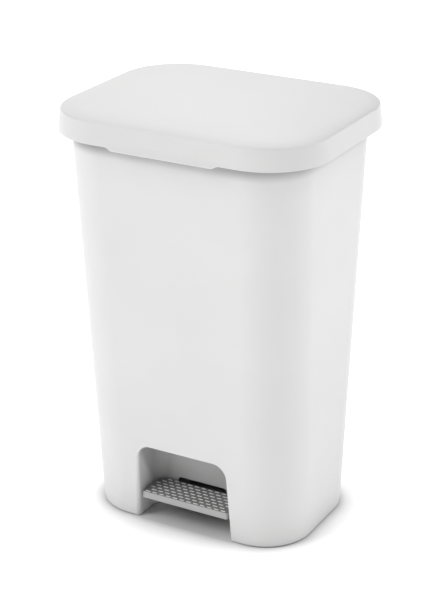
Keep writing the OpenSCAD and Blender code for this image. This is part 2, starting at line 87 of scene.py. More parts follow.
class Net:
    """A node tree, of a shader or of Geometry Nodes, and the ways to add nodes to it."""

    def __init__(self, tree):
        self.tree = tree

    def add(self, kind, settings=None, inputs=None, out=0):
        """Adds a node: its settings first, then its sockets by name or number. Returns an output."""
        node = self.tree.nodes.new(kind)
        for name, value in (settings or {}).items():
            setattr(node, name, value)
        for key, value in (inputs or {}).items():
            socket = self.pick(node.inputs, key)
            if isinstance(value, Wire):
                self.tree.links.new(value.socket, socket)
            else:
                socket.default_value = value
        self.last = node
        return Wire(self, self.pick(node.outputs, out))

    @staticmethod
    def pick(sockets, key):
        """A socket by number, or the live one of that name."""
        if isinstance(key, int):
            return sockets[key]
        return next(s for s in sockets if s.name == key and s.enabled)

    def other(self, out):
        """Another output of the node that was added last."""
        return Wire(self, self.pick(self.last.outputs, out))

    def math(self, operation, *values):
        """A Math node on numbers or wires."""
        return self.add("ShaderNodeMath", {"operation": operation}, dict(enumerate(values)))

    def smooth(self, value, low, high):
        """0 below low, 1 above high, and a soft step between them."""
        return self.add(
            "ShaderNodeMapRange",
            {"interpolation_type": "SMOOTHSTEP"},
            {"Value": value, "From Min": low, "From Max": high},
        )

    def xyz(self, vector):
        """The three parts of a vector."""
        x = self.add("ShaderNodeSeparateXYZ", None, {0: vector})
        return x, self.other(1), self.other(2)

    def vector(self, x, y, z):
        """A vector from its three parts."""
        return self.add("ShaderNodeCombineXYZ", None, {0: x, 1: y, 2: z})

    def blend(self, factor, a, b):
        """Mixes two colours."""
        return self.add("ShaderNodeMix", {"data_type": "RGBA"}, {0: factor, 6: a, 7: b}, 2)


# ---------------------------------------------------------------- finishes


def rgba(value, tint=(1, 1, 1)):
    """A grey of that brightness, slightly tinted."""
    return (*(value * t for t in tint), 1)


def start_finish(name, **constants):
    """A new material: its net, its shader node, and Object coordinates."""
    material = bpy.data.materials.new(name)
    material.use_nodes = True
    net = Net(material.node_tree)
    shader = material.node_tree.nodes["Principled BSDF"]
    for socket, value in constants.items():
        shader.inputs[socket.replace("_", " ")].default_value = value
    place = net.add("ShaderNodeTexCoord", None, None, "Object")
    return material, net, shader, place


def noise(net, place, scale, detail=2.0, rough=0.5, stretch=None):
    """Soft random patches, with scale of them to the metre, drawn out by stretch."""
    if stretch:
        place = net.add("ShaderNodeMapping", None, {"Vector": place, "Scale": stretch})
    return net.add(
        "ShaderNodeTexNoise",
        {"noise_dimensions": "3D"},
        {"Vector": place, "Scale": scale, "Detail": detail, "Roughness": rough},
    )


def end_finish(net, shader, colour, rough, height, strength, depth):
    """Joins a finish's colour, roughness and bump to its shader node."""
    normal = net.add(
        "ShaderNodeBump", None, {"Strength": strength, "Distance": depth, "Height": height}
    )
    for socket, wire in (("Base Color", colour), ("Roughness", rough), ("Normal", normal)):
        net.tree.links.new(wire.socket, shader.inputs[socket])


def recess_painted_shade(net, place):
    """Painted shade in the recess: deep in it, high up on its sides, most in its back corners."""
    x, y, z = net.xyz(place)
    across = net.math("ABSOLUTE", x)
    depth = y - (BASE_BACK - BASE_D / 2) + z * FRONT_RISE
    # The painted shade starts further in towards the foot of the sides
    shade_start = net.math("MAXIMUM", REC_H - z, 0.0) * 0.5 - 9 * MM
    corner = net.smooth(across, REC_W / 2 - 34 * MM, REC_W / 2 - 12 * MM)
    return (
        net.smooth(depth - shade_start, 0.0, 16 * MM)
        * net.smooth(depth, 0.4 * MM, 5 * MM)
        * net.math("LESS_THAN", across, REC_W / 2 + 1 * MM)
        * net.math("LESS_THAN", z, REC_H + 1 * MM)
        * net.math("LESS_THAN", y, 1 * MM - REC_Y)
        * (0.5 + 0.25 * corner)
    )


def hollow_painted_shade(net, place):
    """Painted shade in the hollow under the raised floor, seen through the lever's slot."""
    x, y, z = net.xyz(place)
    return (
        (1 - net.smooth(net.math("ABSOLUTE", x), SLOT_W / 2 + 30 * MM, SLOT_W / 2 + 70 * MM))
        * net.smooth(y, 0.5 * MM - REC_Y, 3 * MM - REC_Y)
        * (1 - net.smooth(y, 60 * MM, 110 * MM))
        * net.math("LESS_THAN", z, FLOOR_Z - 0.5 * WALL)
    )


def skirt_painted_shadow(net, place):
    """A painted shadow band on the tub's walls under the foot of the lid's skirt, fading out a little
    above it.
    """
    z = net.xyz(place)[2]
    return net.smooth(z, LID_FOOT - 24 * MM, LID_FOOT - 3 * MM) * (
        1 - net.smooth(z, LID_FOOT + 3 * MM, LID_FOOT + 13 * MM)
    )


def moulded_plastic(name, tone, tint, gloss, grain, wear, tub_foot_wear_and_shade=0.0):
    """Moulded plastic: soft clouding from the mould, a fine etched grain, hairline scuffs.

    The tub's plastic is given how worn its foot is, and gets painted shade in the recess, in the
    hollow under the raised floor and under the lid's skirt."""
    material, net, shader, place = start_finish(name, Specular_IOR_Level=0.5, IOR=PLASTIC_IOR)
    cloud = noise(net, place, 7.0, 3.0)
    etch = noise(net, place, 1500.0, 3.0, 0.6)
    ripple = noise(net, place, 55.0, 2.0)
    hair = noise(net, place, 26.0, 6.0, 0.7, (1.0, 1.0, 14.0))
    across = noise(net, place, 30.0, 6.0, 0.7, (16.0, 1.0, 1.0))
    scuffs = net.smooth(hair, 0.62, 0.7) + net.smooth(across, 0.64, 0.71)
    worn = scuffs * wear
    darker, paler = rgba(tone * 0.985, tint), rgba(tone * 1.012, tint)
    light = net.blend(net.smooth(cloud, 0.3, 0.7), darker, paler)
    if tub_foot_wear_and_shade:
        foot = 1 - net.smooth(net.xyz(place)[2], 4 * MM, 70 * MM)
        worn = worn + foot * net.smooth(cloud, 0.35, 0.7) * tub_foot_wear_and_shade
        # Painted shade: in the recess, in the hollow under the raised floor and under the lid's skirt
        light = net.blend(recess_painted_shade(net, place), light, rgba(tone * RECESS_SHADE_TONE, tint))
        light = net.blend(hollow_painted_shade(net, place), light, rgba(tone * HOLLOW_SHADE_TONE, tint))
        light = net.blend(skirt_painted_shadow(net, place), light, rgba(tone * SKIRT_SHADOW_TONE, tint))
    colour = net.blend(worn, light, rgba(tone * 0.8, (1.0, 0.985, 0.96)))
    rough = cloud * 0.05 + etch * 0.05 + (gloss - 0.05) + worn * 0.25
    height = etch + ripple * 0.6 - scuffs * 0.15
    end_finish(net, shader, colour, rough, height, grain, 0.00012)
    return material


def worn_and_highlit_grey(name, tone, gloss):
    """Grey plastic that shoes rub: the raised parts paler and smoother, partly wear and partly a
    painted highlight; darker between them, partly grime and partly painted shade.
    """
    material, net, shader, place = start_finish(name, Specular_IOR_Level=0.45, IOR=PLASTIC_IOR)
    cloud = noise(net, place, 30.0, 4.0)
    etch = noise(net, place, 1800.0, 3.0, 0.6)
    grit = noise(net, place, 320.0, 3.0, 0.7)
    z = net.xyz(place)[2]
    raised = net.smooth(z, TREAD_TOP + 0.2 * MM, TREAD_TOP + 0.6 * MM)
    # Paler raised parts are wear and a painted highlight; the darker ground between them is grime and
    # painted shade
    rubbed_and_highlit = raised * (0.75 + cloud * 0.4)
    grime_and_shade = net.smooth(z, TREAD_TOP - 0.6 * MM, TREAD_TOP - 0.1 * MM) * (1 - raised)
    dust = net.smooth(grit, 0.5, 0.72) * (1 - raised) * 0.22
    colour = net.blend(grime_and_shade * (0.8 + cloud * 0.4), rgba(tone), rgba(tone * 0.5))
    colour = net.blend(rubbed_and_highlit, colour, rgba(tone * 2.2))
    colour = net.blend(dust, colour, rgba(tone * 1.35, (1.0, 0.98, 0.95)))
    rough = gloss + cloud * 0.08 + etch * 0.05 - rubbed_and_highlit * 0.1 + dust * 0.3
    end_finish(net, shader, colour, rough, etch + grit * 0.5, 0.3, 0.0002)
    return material


def soft_rubber(name):
    """Dark rubber with a fine grain and a little pale dust."""
    material, net, shader, place = start_finish(name, Specular_IOR_Level=0.3)
    cloud = noise(net, place, 90.0, 4.0)
    grain = noise(net, place, 1400.0, 3.0, 0.7)
    dust = net.smooth(cloud, 0.45, 0.75) * 0.35
    colour = net.blend(dust, rgba(0.035), rgba(0.12, (1.0, 0.97, 0.93)))
    end_finish(net, shader, colour, 0.68 + cloud * 0.2, grain + cloud, 0.35, 0.0003)
    return material


def plated_steel(name, stretch, gloss):
    """Zinc-plated steel, with fine lines along the way it was drawn and a few dull spots."""
    material, net, shader, place = start_finish(name, Metallic=1.0)
    lines = noise(net, place, 700.0, 4.0, 0.65, stretch)
    spots = net.smooth(noise(net, place, 160.0, 4.0, 0.6), 0.56, 0.7)
    spangle = noise(net, place, 60.0, 2.0)
    colour = net.blend(
        net.smooth(spangle, 0.35, 0.65), rgba(0.56, (0.98, 1.0, 1.03)), rgba(0.7, (1, 1, 1.01))
    )
    colour = net.blend(spots * 0.45, colour, rgba(0.38, (1.0, 0.98, 0.94)))
    rough = gloss + lines * 0.14 + spots * 0.22
    end_finish(net, shader, colour, rough, lines + spots * 0.4, 0.25, 0.00008)
    return material


# ---------------------------------------------------------------- sizes

tub_lo, tub_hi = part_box("tub")
lid_lo, lid_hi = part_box("lid")
tread_lo, tread_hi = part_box("pedal_tread")
axle_lo, axle_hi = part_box("pivot_axle")
pin_lo, pin_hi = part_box("hinge_pin_left")

WALL = 2.5 * MM
RIM_OUT = 3 * MM
RIM_H = 6 * MM
TUB_H = tub_hi.z
TUB_FOOT = tub_lo.z
TOP_W = 2 * (tub_hi.x - RIM_OUT)
TOP_D = 2 * (tub_hi.y - RIM_OUT)
BASE_W = 345.4 * MM
BASE_D = 238.2 * MM
BASE_BACK = 4.3 * MM
CORNER_R = 75 * MM
FLOOR_Z = 60 * MM
FRONT_RISE = ((TOP_D - BASE_D) / 2 + BASE_BACK) / TUB_H
BACK_RISE = ((TOP_D - BASE_D) / 2 - BASE_BACK) / TUB_H
LEAN = math.atan(BACK_RISE)

REC_W, REC_TOP_W, REC_H = 157 * MM, 147 * MM, 127 * MM
REC_R, REC_BACK_R, REC_Y = 20 * MM, 18 * MM, 58 * MM
REC_EDGE = 7 * MM
TOP_EDGE = 0.8 * MM
SLOT_W, SLOT_H, SLOT_R = 84 * MM, 51 * MM, 6 * MM
CHAN_W, CHAN_D, CHAN_R, CHAN_MOUTH_R = 44 * MM, 17 * MM, 4 * MM, 2 * MM
OVERLAP = 1.2 * MM
POST_R, POST_IN_X, POST_IN_Y, POST_FOOT = 10 * MM, 38 * MM, 42 * MM, 2 * MM
PAD_HOLE_R, PAD_HOLE_H = 6.5 * MM, 11.8 * MM
PILOT_R = 1.55 * MM

LID_FOOT = 600 * MM
LID_W = 2 * lid_hi.x
LID_D = 2 * lid_hi.y
LID_R = 94.6 * MM
LID_WALL = 2.5 * MM
LIP_H = LID_FOOT - lid_lo.z
LIP_OUT = -lid_lo.y - lid_hi.y
LIP_W = 174 * MM

TREAD_TOP = 45 * MM
TREAD_WALL = 3 * MM
TREAD_PLATE = 3.5 * MM
TREAD_BACK_R = 16 * MM

KNUCKLE_R, KNUCKLE_W, PIN_BORE_R = 4.3 * MM, 14 * MM, 2.06 * MM
BRACKET_SCREW_X, BRACKET_SCREW_DROP = 15 * MM, 22 * MM
HORN_SCREW_X = 13 * MM
SCREW_HEAD_D, SCREW_HEAD_H, SCREW_D = 6.4 * MM, 2 * MM, 3 * MM

PLASTIC_IOR = 1.49
# How dark the painted shade is in the recess, in the hollow under the raised floor and under the lid's
# skirt
RECESS_SHADE_TONE = 0.5
HOLLOW_SHADE_TONE = 0.25
SKIRT_SHADOW_TONE = 0.5
HINGE = Vector((85 * MM, (pin_lo.y + pin_hi.y) / 2, (pin_lo.z + pin_hi.z) / 2))
PIVOT = Vector((0, (axle_lo.y + axle_hi.y) / 2, (axle_lo.z + axle_hi.z) / 2))
BRACKET_SCREW_UP = (HINGE.z - BRACKET_SCREW_DROP) / math.cos(LEAN)


def back_y(z):
    """Where the outside of the back wall is at that height."""
    return BASE_D / 2 + BASE_BACK + BACK_RISE * z


def front_y(z):
    """Where the outside of the front wall is at that height."""
    return BASE_BACK - BASE_D / 2 - FRONT_RISE * z


# ---------------------------------------------------------------- mesh tools


def new_object(name, mesh):
    """A mesh as an object of the scene, at the origin."""
    obj = bpy.data.objects.new(name, mesh)
    scene.collection.objects.link(obj)
    return obj


def take_mesh(obj):
    """The evaluated mesh of an object, as plain mesh data of its own."""
    bpy.context.view_layer.update()
    graph = bpy.context.evaluated_depsgraph_get()
    return bpy.data.meshes.new_from_object(obj.evaluated_get(graph), depsgraph=graph)


def settle(obj):
    """Turns an object's modifiers into plain mesh and removes them."""
    mesh = take_mesh(obj)
    obj.modifiers.clear()
    obj.data = mesh
    return obj


def close_mesh(mesh):
    """Closes the open ends, merges doubles and turns every face outwards."""
    shape = bmesh.new()
    shape.from_mesh(mesh)
    bmesh.ops.remove_doubles(shape, verts=shape.verts, dist=1e-7)
    bmesh.ops.holes_fill(shape, edges=shape.edges, sides=0)
    bmesh.ops.recalc_face_normals(shape, faces=shape.faces)
    shape.to_mesh(mesh)
    shape.free()
    return mesh


def skin(name, rings):
    """A closed solid through rings of points, each ring with the same number of points."""
    rings = np.asarray(rings, float)
    count, size = rings.shape[:2]
    faces = []
    for low in range(0, (count - 1) * size, size):
        high = low + size
        for here in range(size):
            ahead = (here + 1) % size
            faces.append((low + here, low + ahead, high + ahead, high + here))
    faces += [tuple(range(size))[::-1], tuple((count - 1) * size + b for b in range(size))]
    mesh = bpy.data.meshes.new(name)
    mesh.from_pydata(rings.reshape(-1, 3).tolist(), [], faces)
    return new_object(name, close_mesh(mesh))


def circle_points(radius, steps):
    """Points (x, y) on a circle."""
    turn = np.linspace(0, 2 * math.pi, steps, endpoint=False)
    return np.stack([radius * np.cos(turn), radius * np.sin(turn)], 1)


def lathe(name, profile, steps=40):
    """A solid of revolution about Z from (radius, height) pairs; the ends are closed."""
    return skin(
        name,
        [
            np.column_stack([circle_points(radius, steps), np.full(steps, z)])
            for radius, z in profile
        ],
    )


def post(name, start, end, radius, steps=40, edge=0.0):
    """A round post from start to end, with its far rim rounded."""
    start, end = Vector(start), Vector(end)
    length = (end - start).length
    profile = [(radius, 0)]
    if edge:
        profile += [
            (radius - edge * (1 - math.cos(t)), length - edge * (1 - math.sin(t)))
            for t in np.linspace(0, math.pi / 2, 5)
        ]
    else:
        profile.append((radius, length))
    obj = lathe(name, profile, steps)
    turn = Vector((0, 0, 1)).rotation_difference(end - start).to_matrix().to_4x4()
    obj.data.transform(Matrix.Translation(start) @ turn)
    return obj


def block(name, low, high):
    """A straight block, used to add or to cut."""
    (x0, y0, z0), (x1, y1, z1) = low, high
    return skin(
        name,
        [[(x0, y0, z), (x1, y0, z), (x1, y1, z), (x0, y1, z)] for z in (z0, z1)],
    )


def prism(name, outline, near, far, place):
    """An outline of (u, v) points carried from near to far; place maps (u, v, w) to a point."""
    return skin(name, [[place(u, v, w) for u, v in outline] for w in (near, far)])


def combine(body, others, operation):
    """Joins the other solids to body, or cuts them from it, and removes them."""
    others = [others] if isinstance(others, bpy.types.Object) else list(others)
    for other in others:
        tool = body.modifiers.new("join", "BOOLEAN")
        tool.operation, tool.solver, tool.object = operation, "MANIFOLD", other
        settle(body)
        bpy.data.objects.remove(other)
    return body


def shade(obj, angle=32.0, weight=True):
    """Smooth faces, crisp edges past the angle, and normals that keep flat faces flat."""
    mesh = obj.data
    mesh.shade_smooth()
    mesh.set_sharp_from_angle(angle=math.radians(angle))
    if weight:
        tool = obj.modifiers.new("flat faces first", "WEIGHTED_NORMAL")
        tool.keep_sharp, tool.mode, tool.weight = True, "FACE_AREA_WITH_ANGLE", 90
        settle(obj)
    return obj


def dress(obj, material):
    """Gives the whole of an object one material."""
    obj.data.materials.clear()
    obj.data.materials.append(material)
    if "material_index" in obj.data.attributes:
        obj.data.attributes.remove(obj.data.attributes["material_index"])
    return obj


def run_tree(obj, tree, values):
    """Runs a Geometry Nodes tree on obj, with its inputs set by name, and keeps the plain mesh."""
    tool = obj.modifiers.new(tree.name, "NODES")
    tool.node_group = tree
    for item in tree.interface.items_tree:
        if item.item_type == "SOCKET" and item.in_out == "INPUT" and item.name in values:
            tool[item.identifier] = values[item.name]
    return settle(obj)


def start_tree(name, sockets):
    """A Geometry Nodes tree with named inputs: its net and a way to read each input."""
    tree = bpy.data.node_groups.new(name, "GeometryNodeTree")
    tree.interface.new_socket("Geometry", in_out="OUTPUT", socket_type="NodeSocketGeometry")
    for label, kind, value in sockets:
        socket = tree.interface.new_socket(label, in_out="INPUT", socket_type="NodeSocket" + kind)
        if value is not None:
            socket.default_value = value
    net = Net(tree)
    entry = tree.nodes.new("NodeGroupInput")

    def read(label):
        return Wire(net, entry.outputs[label])

    return tree, net, read


def end_tree(tree, net, geometry, material):
    """Ends a tree: instances become real meshes, in the material that the tree is given."""
    real = net.add("GeometryNodeRealizeInstances", None, {"Geometry": geometry})
    done = net.add("GeometryNodeSetMaterial", None, {"Geometry": real, "Material": material})
    tree.links.new(done.socket, tree.nodes.new("NodeGroupOutput").inputs[0])
    return tree


# ---------------------------------------------------------------- walls round a plan


def wall_tree():
    """A wall profile carried round a rounded rectangle that widens as it rises.

    The profile is a line of points: how far each is drawn in, its corner radius, its height."""
    tree, net, read = start_tree(
        "wall round a plan",
        [
            ("Profile", "Object", None),
            ("Foot width", "Float", 0.3),
            ("Foot depth", "Float", 0.2),
            ("Foot shift", "Float", 0.0),
            ("Width rise", "Float", 0.0),
            ("Depth rise", "Float", 0.0),
            ("Shift rise", "Float", 0.0),
            ("Corner steps", "Int", 24),
            ("Side steps", "Int", 1),
            ("Material", "Material", None),
        ],
    )
    line = net.add("GeometryNodeObjectInfo", None, {"Object": read("Profile")}, "Geometry")
    rings = net.add(
        "GeometryNodeAttributeDomainSize", {"component": "MESH"}, {"Geometry": line}, "Point Count"
    )
    span = read("Corner steps") + read("Side steps")
    grid = net.add(
        "GeometryNodeMeshGrid", None, {"Vertices X": span * 4 + 1, "Vertices Y": rings}, "Mesh"
    )
    index = net.add("GeometryNodeInputIndex")
    column = net.math("FLOOR", (index + 0.5) / rings)
    ring = index - column * rings
    spot = net.add(
        "GeometryNodeSampleIndex",
        {"data_type": "FLOAT_VECTOR", "domain": "POINT"},
        {"Geometry": line, "Value": net.add("GeometryNodeInputPosition"), "Index": ring},
        "Value",
    )
    inset, radius, height = net.xyz(spot)
    quarter = net.math("FLOOR", (column + 0.5) / span)
    step = column - quarter * span
    turn = net.math("MINIMUM", step / read("Corner steps"), 1.0)
    along = net.math("MAXIMUM", (step - read("Corner steps")) / read("Side steps"), 0.0)
    angle = (quarter + turn) * (math.pi / 2)
    corner = (quarter + 0.5) * (math.pi / 2)
    side_x = net.math("SIGN", net.math("COSINE", corner))
    side_y = net.math("SIGN", net.math("SINE", corner))
    centre_x = (read("Foot width") + read("Width rise") * height) * 0.5 - inset - radius
    centre_y = (read("Foot depth") + read("Depth rise") * height) * 0.5 - inset - radius
    x = centre_x * (side_x - along * (side_y + side_x)) + net.math("COSINE", angle) * radius
    y = centre_y * (side_y + along * (side_x - side_y)) + net.math("SINE", angle) * radius
    y = y + read("Foot shift") + read("Shift rise") * height
    shaped = net.add(
        "GeometryNodeSetPosition", None, {"Geometry": grid, "Position": net.vector(x, y, height)}
    )
    joined = net.add("GeometryNodeMergeByDistance", None, {"Geometry": shaped, "Distance": 1e-6})
    return end_tree(tree, net, joined, read("Material"))


WALLS = wall_tree()


def walls(name, profile, **values):
    """A closed solid from a wall profile of (inset, corner radius, height) points."""
    line = bpy.data.meshes.new(name + " profile")
    line.from_pydata(profile, [(i, i + 1) for i in range(len(profile) - 1)], [])
    guide = new_object(name + " profile", line)
    obj = new_object(name, bpy.data.meshes.new(name))
    labels = {key.replace("_", " ").capitalize(): value for key, value in values.items()}
    run_tree(obj, WALLS, {"Profile": guide, **labels})
    bpy.data.objects.remove(guide)
    close_mesh(obj.data)
    return obj


def arc(centre_u, centre_v, radius, start, end, steps):
    """Points (u, v) along an arc, in degrees."""
    turns = np.radians(np.linspace(start, end, steps + 1))
    return [(centre_u + radius * math.cos(t), centre_v + radius * math.sin(t)) for t in turns]


# ---------------------------------------------------------------- tub

TUB_PLAN = dict(
    foot_width=BASE_W,
    foot_depth=BASE_D,
    foot_shift=BASE_BACK,
    width_rise=(TOP_W - BASE_W) / TUB_H,
    depth_rise=(TOP_D - BASE_D) / TUB_H,
    shift_rise=-BASE_BACK / TUB_H,
    corner_steps=36,
    side_steps=1,
)


def arch(grow, bottom, steps=16):
    """The recess's outline as (x, z) points, grown all round by grow, down to bottom."""
    top, radius = REC_H + grow, REC_R + grow
    foot, crown = REC_W / 2 + grow, REC_TOP_W / 2 + grow
    right = arc(crown - radius, top - radius, radius, 0, 90, steps)
    left = [(-x, z) for x, z in reversed(right)]
    return [(-foot, bottom), (foot, bottom)] + right + left


def recess_tool(name, grow, bottom, front_rings, back):
    """The recess as a solid: rings of its outline from the front wall to its rounded back.
    Its front edge is rounded in full along the uprights, and only eased along the top."""
    rings = []
    for depth, extra in front_rings:
        ring = []
        for (x, z), (wide_x, wide_z) in zip(arch(grow, bottom), arch(grow + extra, bottom)):
            climb = min(max((z - REC_H + 1.5 * REC_R) / REC_R, 0), 1)
            soft = 1 - climb * (1 - TOP_EDGE / REC_EDGE)
            x, z = x + (wide_x - x) * soft, z + (wide_z - z) * soft
            ring.append((x, front_y(z) + (depth * soft if depth > 0 else depth), z))
        rings.append(ring)
    bend = REC_BACK_R + grow
    for turn in np.radians(np.linspace(0, 90, 11)):
        y = back - bend + bend * math.sin(turn)
        shrink = -(bend - 0.4 * MM) * (1 - math.cos(turn))
        rings.append([(x, y, z) for x, z in arch(grow + shrink, bottom)])
    return skin(name, rings)


def on_back(x, out, along):
    """A point from its place across, out from and up along the plane of the back wall."""
    return (
        x,
        back_y(0) + out * math.cos(LEAN) + along * math.sin(LEAN),
        along * math.cos(LEAN) - out * math.sin(LEAN),
    )


def tub_profile():
    """The tub's wall as points (inset, height), from the raised floor's foot round to its top."""
    inner_bend, lip, foot_bend = 8 * MM, 1.2 * MM, 3 * MM
    bead = TUB_H - RIM_H
    quarter = np.radians(np.linspace(0, 90, 6))
    line = [(WALL, FLOOR_Z - WALL), (WALL, TUB_FOOT + 0.6 * MM), (WALL - 0.6 * MM, TUB_FOOT)]
    line += [
        (foot_bend - foot_bend * math.sin(t), TUB_FOOT + foot_bend - foot_bend * math.cos(t))
        for t in np.radians(np.linspace(20, 90, 7))
    ]
    # The bead: out, up and over the rim, then down inside to the raised floor
    line += [(0, bead - 2.2 * MM), (-0.5 * MM, bead - 1.2 * MM), (1.0 * MM - RIM_OUT, bead - 0.3 * MM)]
    line += [(0.25 * MM - RIM_OUT, bead + 0.3 * MM), (-RIM_OUT, bead + 1.2 * MM)]
    line += [(lip - RIM_OUT - lip * math.cos(t), TUB_H - lip + lip * math.sin(t)) for t in quarter]
    line += [(WALL - lip * (1 - math.sin(t)), TUB_H - lip * (1 - math.cos(t))) for t in quarter]
    line += [
        (WALL + inner_bend * (1 - math.cos(t)), FLOOR_Z + inner_bend * (1 - math.sin(t)))
        for t in np.radians(np.linspace(0, 90, 8))
    ]
    return line


def channel_outline(grow, mouth, flare):
    """The rod channel's outline on the back wall, grown by grow, with its mouth flared."""
    half, deep, bend = CHAN_W / 2 + grow, CHAN_D + grow, CHAN_R + grow
    right = [(half + flare, mouth)]
    if flare:
        right += arc(half + flare, -flare, flare, 90, 180, 6)
    right += arc(half - bend, -deep + bend, bend, 0, -90, 8)
    return right + [(-x, v) for x, v in reversed(right)]


def foot_posts():
    """Posts for the foot pads, and the blind holes that the pads plug into."""
    posts, holes = [], []
    post_x, post_y = BASE_W / 2 - POST_IN_X, BASE_D / 2 - POST_IN_Y
    for x in (-post_x, post_x):
        for y in (BASE_BACK - post_y, BASE_BACK + post_y):
            root, foot = (x, y, FLOOR_Z - OVERLAP), (x, y, POST_FOOT)
            posts.append(post("post", root, foot, POST_R, 40, 0.8 * MM))
            holes.append(post("hole", (x, y, -1 * MM), (x, y, PAD_HOLE_H), PAD_HOLE_R, 40))
    return posts, holes


def bearing_bosses():
    """Two bosses for each bearing's screws, and the rib beside each pair."""
    bosses, holes = [], []
    bearing_lo, bearing_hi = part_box("bearing_right")
    seat, root = bearing_hi.z, FLOOR_Z - OVERLAP
    for side in (-1, 1):
        x = side * (bearing_lo.x + 14 * MM)
        for y in (PIVOT.y - 11 * MM, PIVOT.y + 11 * MM):
            bosses.append(post("boss", (x, y, root), (x, y, seat), 4.5 * MM, 28, 0.5 * MM))
            holes.append(post("hole", (x, y, seat - 1 * MM), (x, y, seat + 7 * MM), PILOT_R, 20))
        rib, half = side * (bearing_lo.x + 22 * MM), WALL / 2
        low = (rib - half, -REC_Y + half, 8 * MM)
        bosses.append(block("rib", low, (rib + half, back_y(0) - half, root)))
    return bosses, holes


def bracket_bosses():
    """Bosses inside the back wall for the screws of the hinge brackets."""
    bosses, holes = [], []
    for side in (-1, 1):
        for step in (-BRACKET_SCREW_X, BRACKET_SCREW_X):
            x, up = side * HINGE.x + step, BRACKET_SCREW_UP
            ends = on_back(x, -WALL / 2, up), on_back(x, -9 * MM, up)
            bosses.append(post("boss", *ends, 4 * MM, 28, 0.5 * MM))
            ends = on_back(x, 1 * MM, up), on_back(x, -7 * MM, up)
            holes.append(post("hole", *ends, PILOT_R, 20))
    return bosses, holes


def lever_slot():
    """The slot in the recess's back that the lever comes through, as a solid to cut away."""
    slot = [(-SLOT_W / 2, -10 * MM), (SLOT_W / 2, -10 * MM)]
    curve = arc(SLOT_W / 2 - SLOT_R, SLOT_H - SLOT_R, SLOT_R, 0, 90, 8)
    slot += curve + [(-x, z) for x, z in reversed(curve)]
    return prism("slot", slot, -REC_Y - 2 * MM, -REC_Y + WALL + 2 * MM, lambda u, v, w: (u, w, v))


def build_tub():
    """The tub: its wall round the plan, with the recess, rod channel, posts, bosses and ribs."""
    plan = [(u, max(CORNER_R - u, 1 * MM), v) for u, v in tub_profile()]
    tub = walls("tub_shell", plan, **TUB_PLAN)

    # The recess and the rod channel stand into the tub as walls of their own
    housing = recess_tool(
        "recess walls", WALL, TUB_FOOT + 0.2 * MM, [(OVERLAP, 0)], -REC_Y + WALL
    )
    combine(tub, housing, "UNION")
    rise = TUB_H / math.cos(LEAN)
    outline = channel_outline(WALL, -OVERLAP, 0)
    trunk = prism("channel walls", outline, FLOOR_Z - WALL, rise + 4 * MM, on_back)
    inside = [(0.4 * MM, CORNER_R, z) for z in (FLOOR_Z - WALL, TUB_H)]
    combine(trunk, walls("form", inside, **TUB_PLAN), "INTERSECT")
    combine(tub, trunk, "UNION")

    added, holes = [], []
    for make in (foot_posts, bearing_bosses, bracket_bosses):
        more_added, more_holes = make()
        added += more_added
        holes += more_holes
    combine(tub, added, "UNION")

    # What is cut away: screw holes, recess, channel, lever slot, gaps in the bead
    front = [(-30 * MM, REC_EDGE + 0.2 * MM), (-0.02 * MM, REC_EDGE)]
    front += [
        (REC_EDGE * (1 - math.sin(t)), REC_EDGE * (1 - math.cos(t)))
        for t in np.radians(np.linspace(80, 0, 9))
    ]
    holes.append(recess_tool("recess", 0, -10 * MM, front, -REC_Y))
    outline = channel_outline(0, 12 * MM, CHAN_MOUTH_R)
    holes.append(prism("channel", outline, -30 * MM, rise + 30 * MM, on_back))
    holes.append(lever_slot())
    back = back_y(TUB_H)
    for x in (-HINGE.x, HINGE.x):
        low = (x - 25 * MM, back, TUB_H - RIM_H - 4 * MM)
        holes.append(block("gap", low, (x + 25 * MM, back + 12 * MM, TUB_H + 3 * MM)))
    combine(tub, holes, "DIFFERENCE")
    return shade(tub)


# ---------------------------------------------------------------- lid


def lid_profile(drop):
    """The lid's outside, from the foot of the skirt to its middle, moved in by drop."""
    steps_mm = [
        (0.0, 0.0), (0.5, 4.0), (1.6, 13.0), (2.9, 22.5), (3.6, 28.6), (3.9, 30.4),
        (4.5, 31.5), (5.6, 32.3), (7.8, 33.05), (12.5, 34.1), (20.0, 35.15), (28.0, 35.8),
        (38.0, 36.5), (50.0, 37.2), (64.0, 37.95), (80.0, 38.7), (98.0, 39.35), (118.0, 39.8),
        (140.0, 40.0), (158.0, 40.0), (168.0, 40.0),
    ]
    points = np.array(steps_mm) * MM
    # Each point moves in along the normal of the outline
    ahead = np.gradient(points, axis=0)
    ahead /= np.linalg.norm(ahead, axis=1)[:, None]
    return points + drop * np.stack([ahead[:, 1], -ahead[:, 0]], 1)


def smooth_line(points, times=3):
    """Rounds a line of points by a Catmull-Rom curve, with times new points in each stretch."""
    points = np.asarray(points, float)
    padded = np.vstack([2 * points[0] - points[1], points, 2 * points[-1] - points[-2]])
    line = []
    for a, b, c, d in zip(padded, padded[1:], padded[2:], padded[3:]):
        for t in np.linspace(0, 1, times, endpoint=False):
            line.append(
                0.5 * (2 * b + (c - a) * t + (2 * a - 5 * b + 4 * c - d) * t**2
                       + (3 * b - a - 3 * c + d) * t**3)
            )
    return np.vstack([line, points[-1]])


def lid_corner(inset):
    """Corner radius of the lid's plan at a given inset: it shrinks evenly over the crown."""
    edge = 20 * MM
    if inset < edge:
        return LID_R - inset
    return (LID_R - edge) * (LID_D / 2 - inset) / (LID_D / 2 - edge)


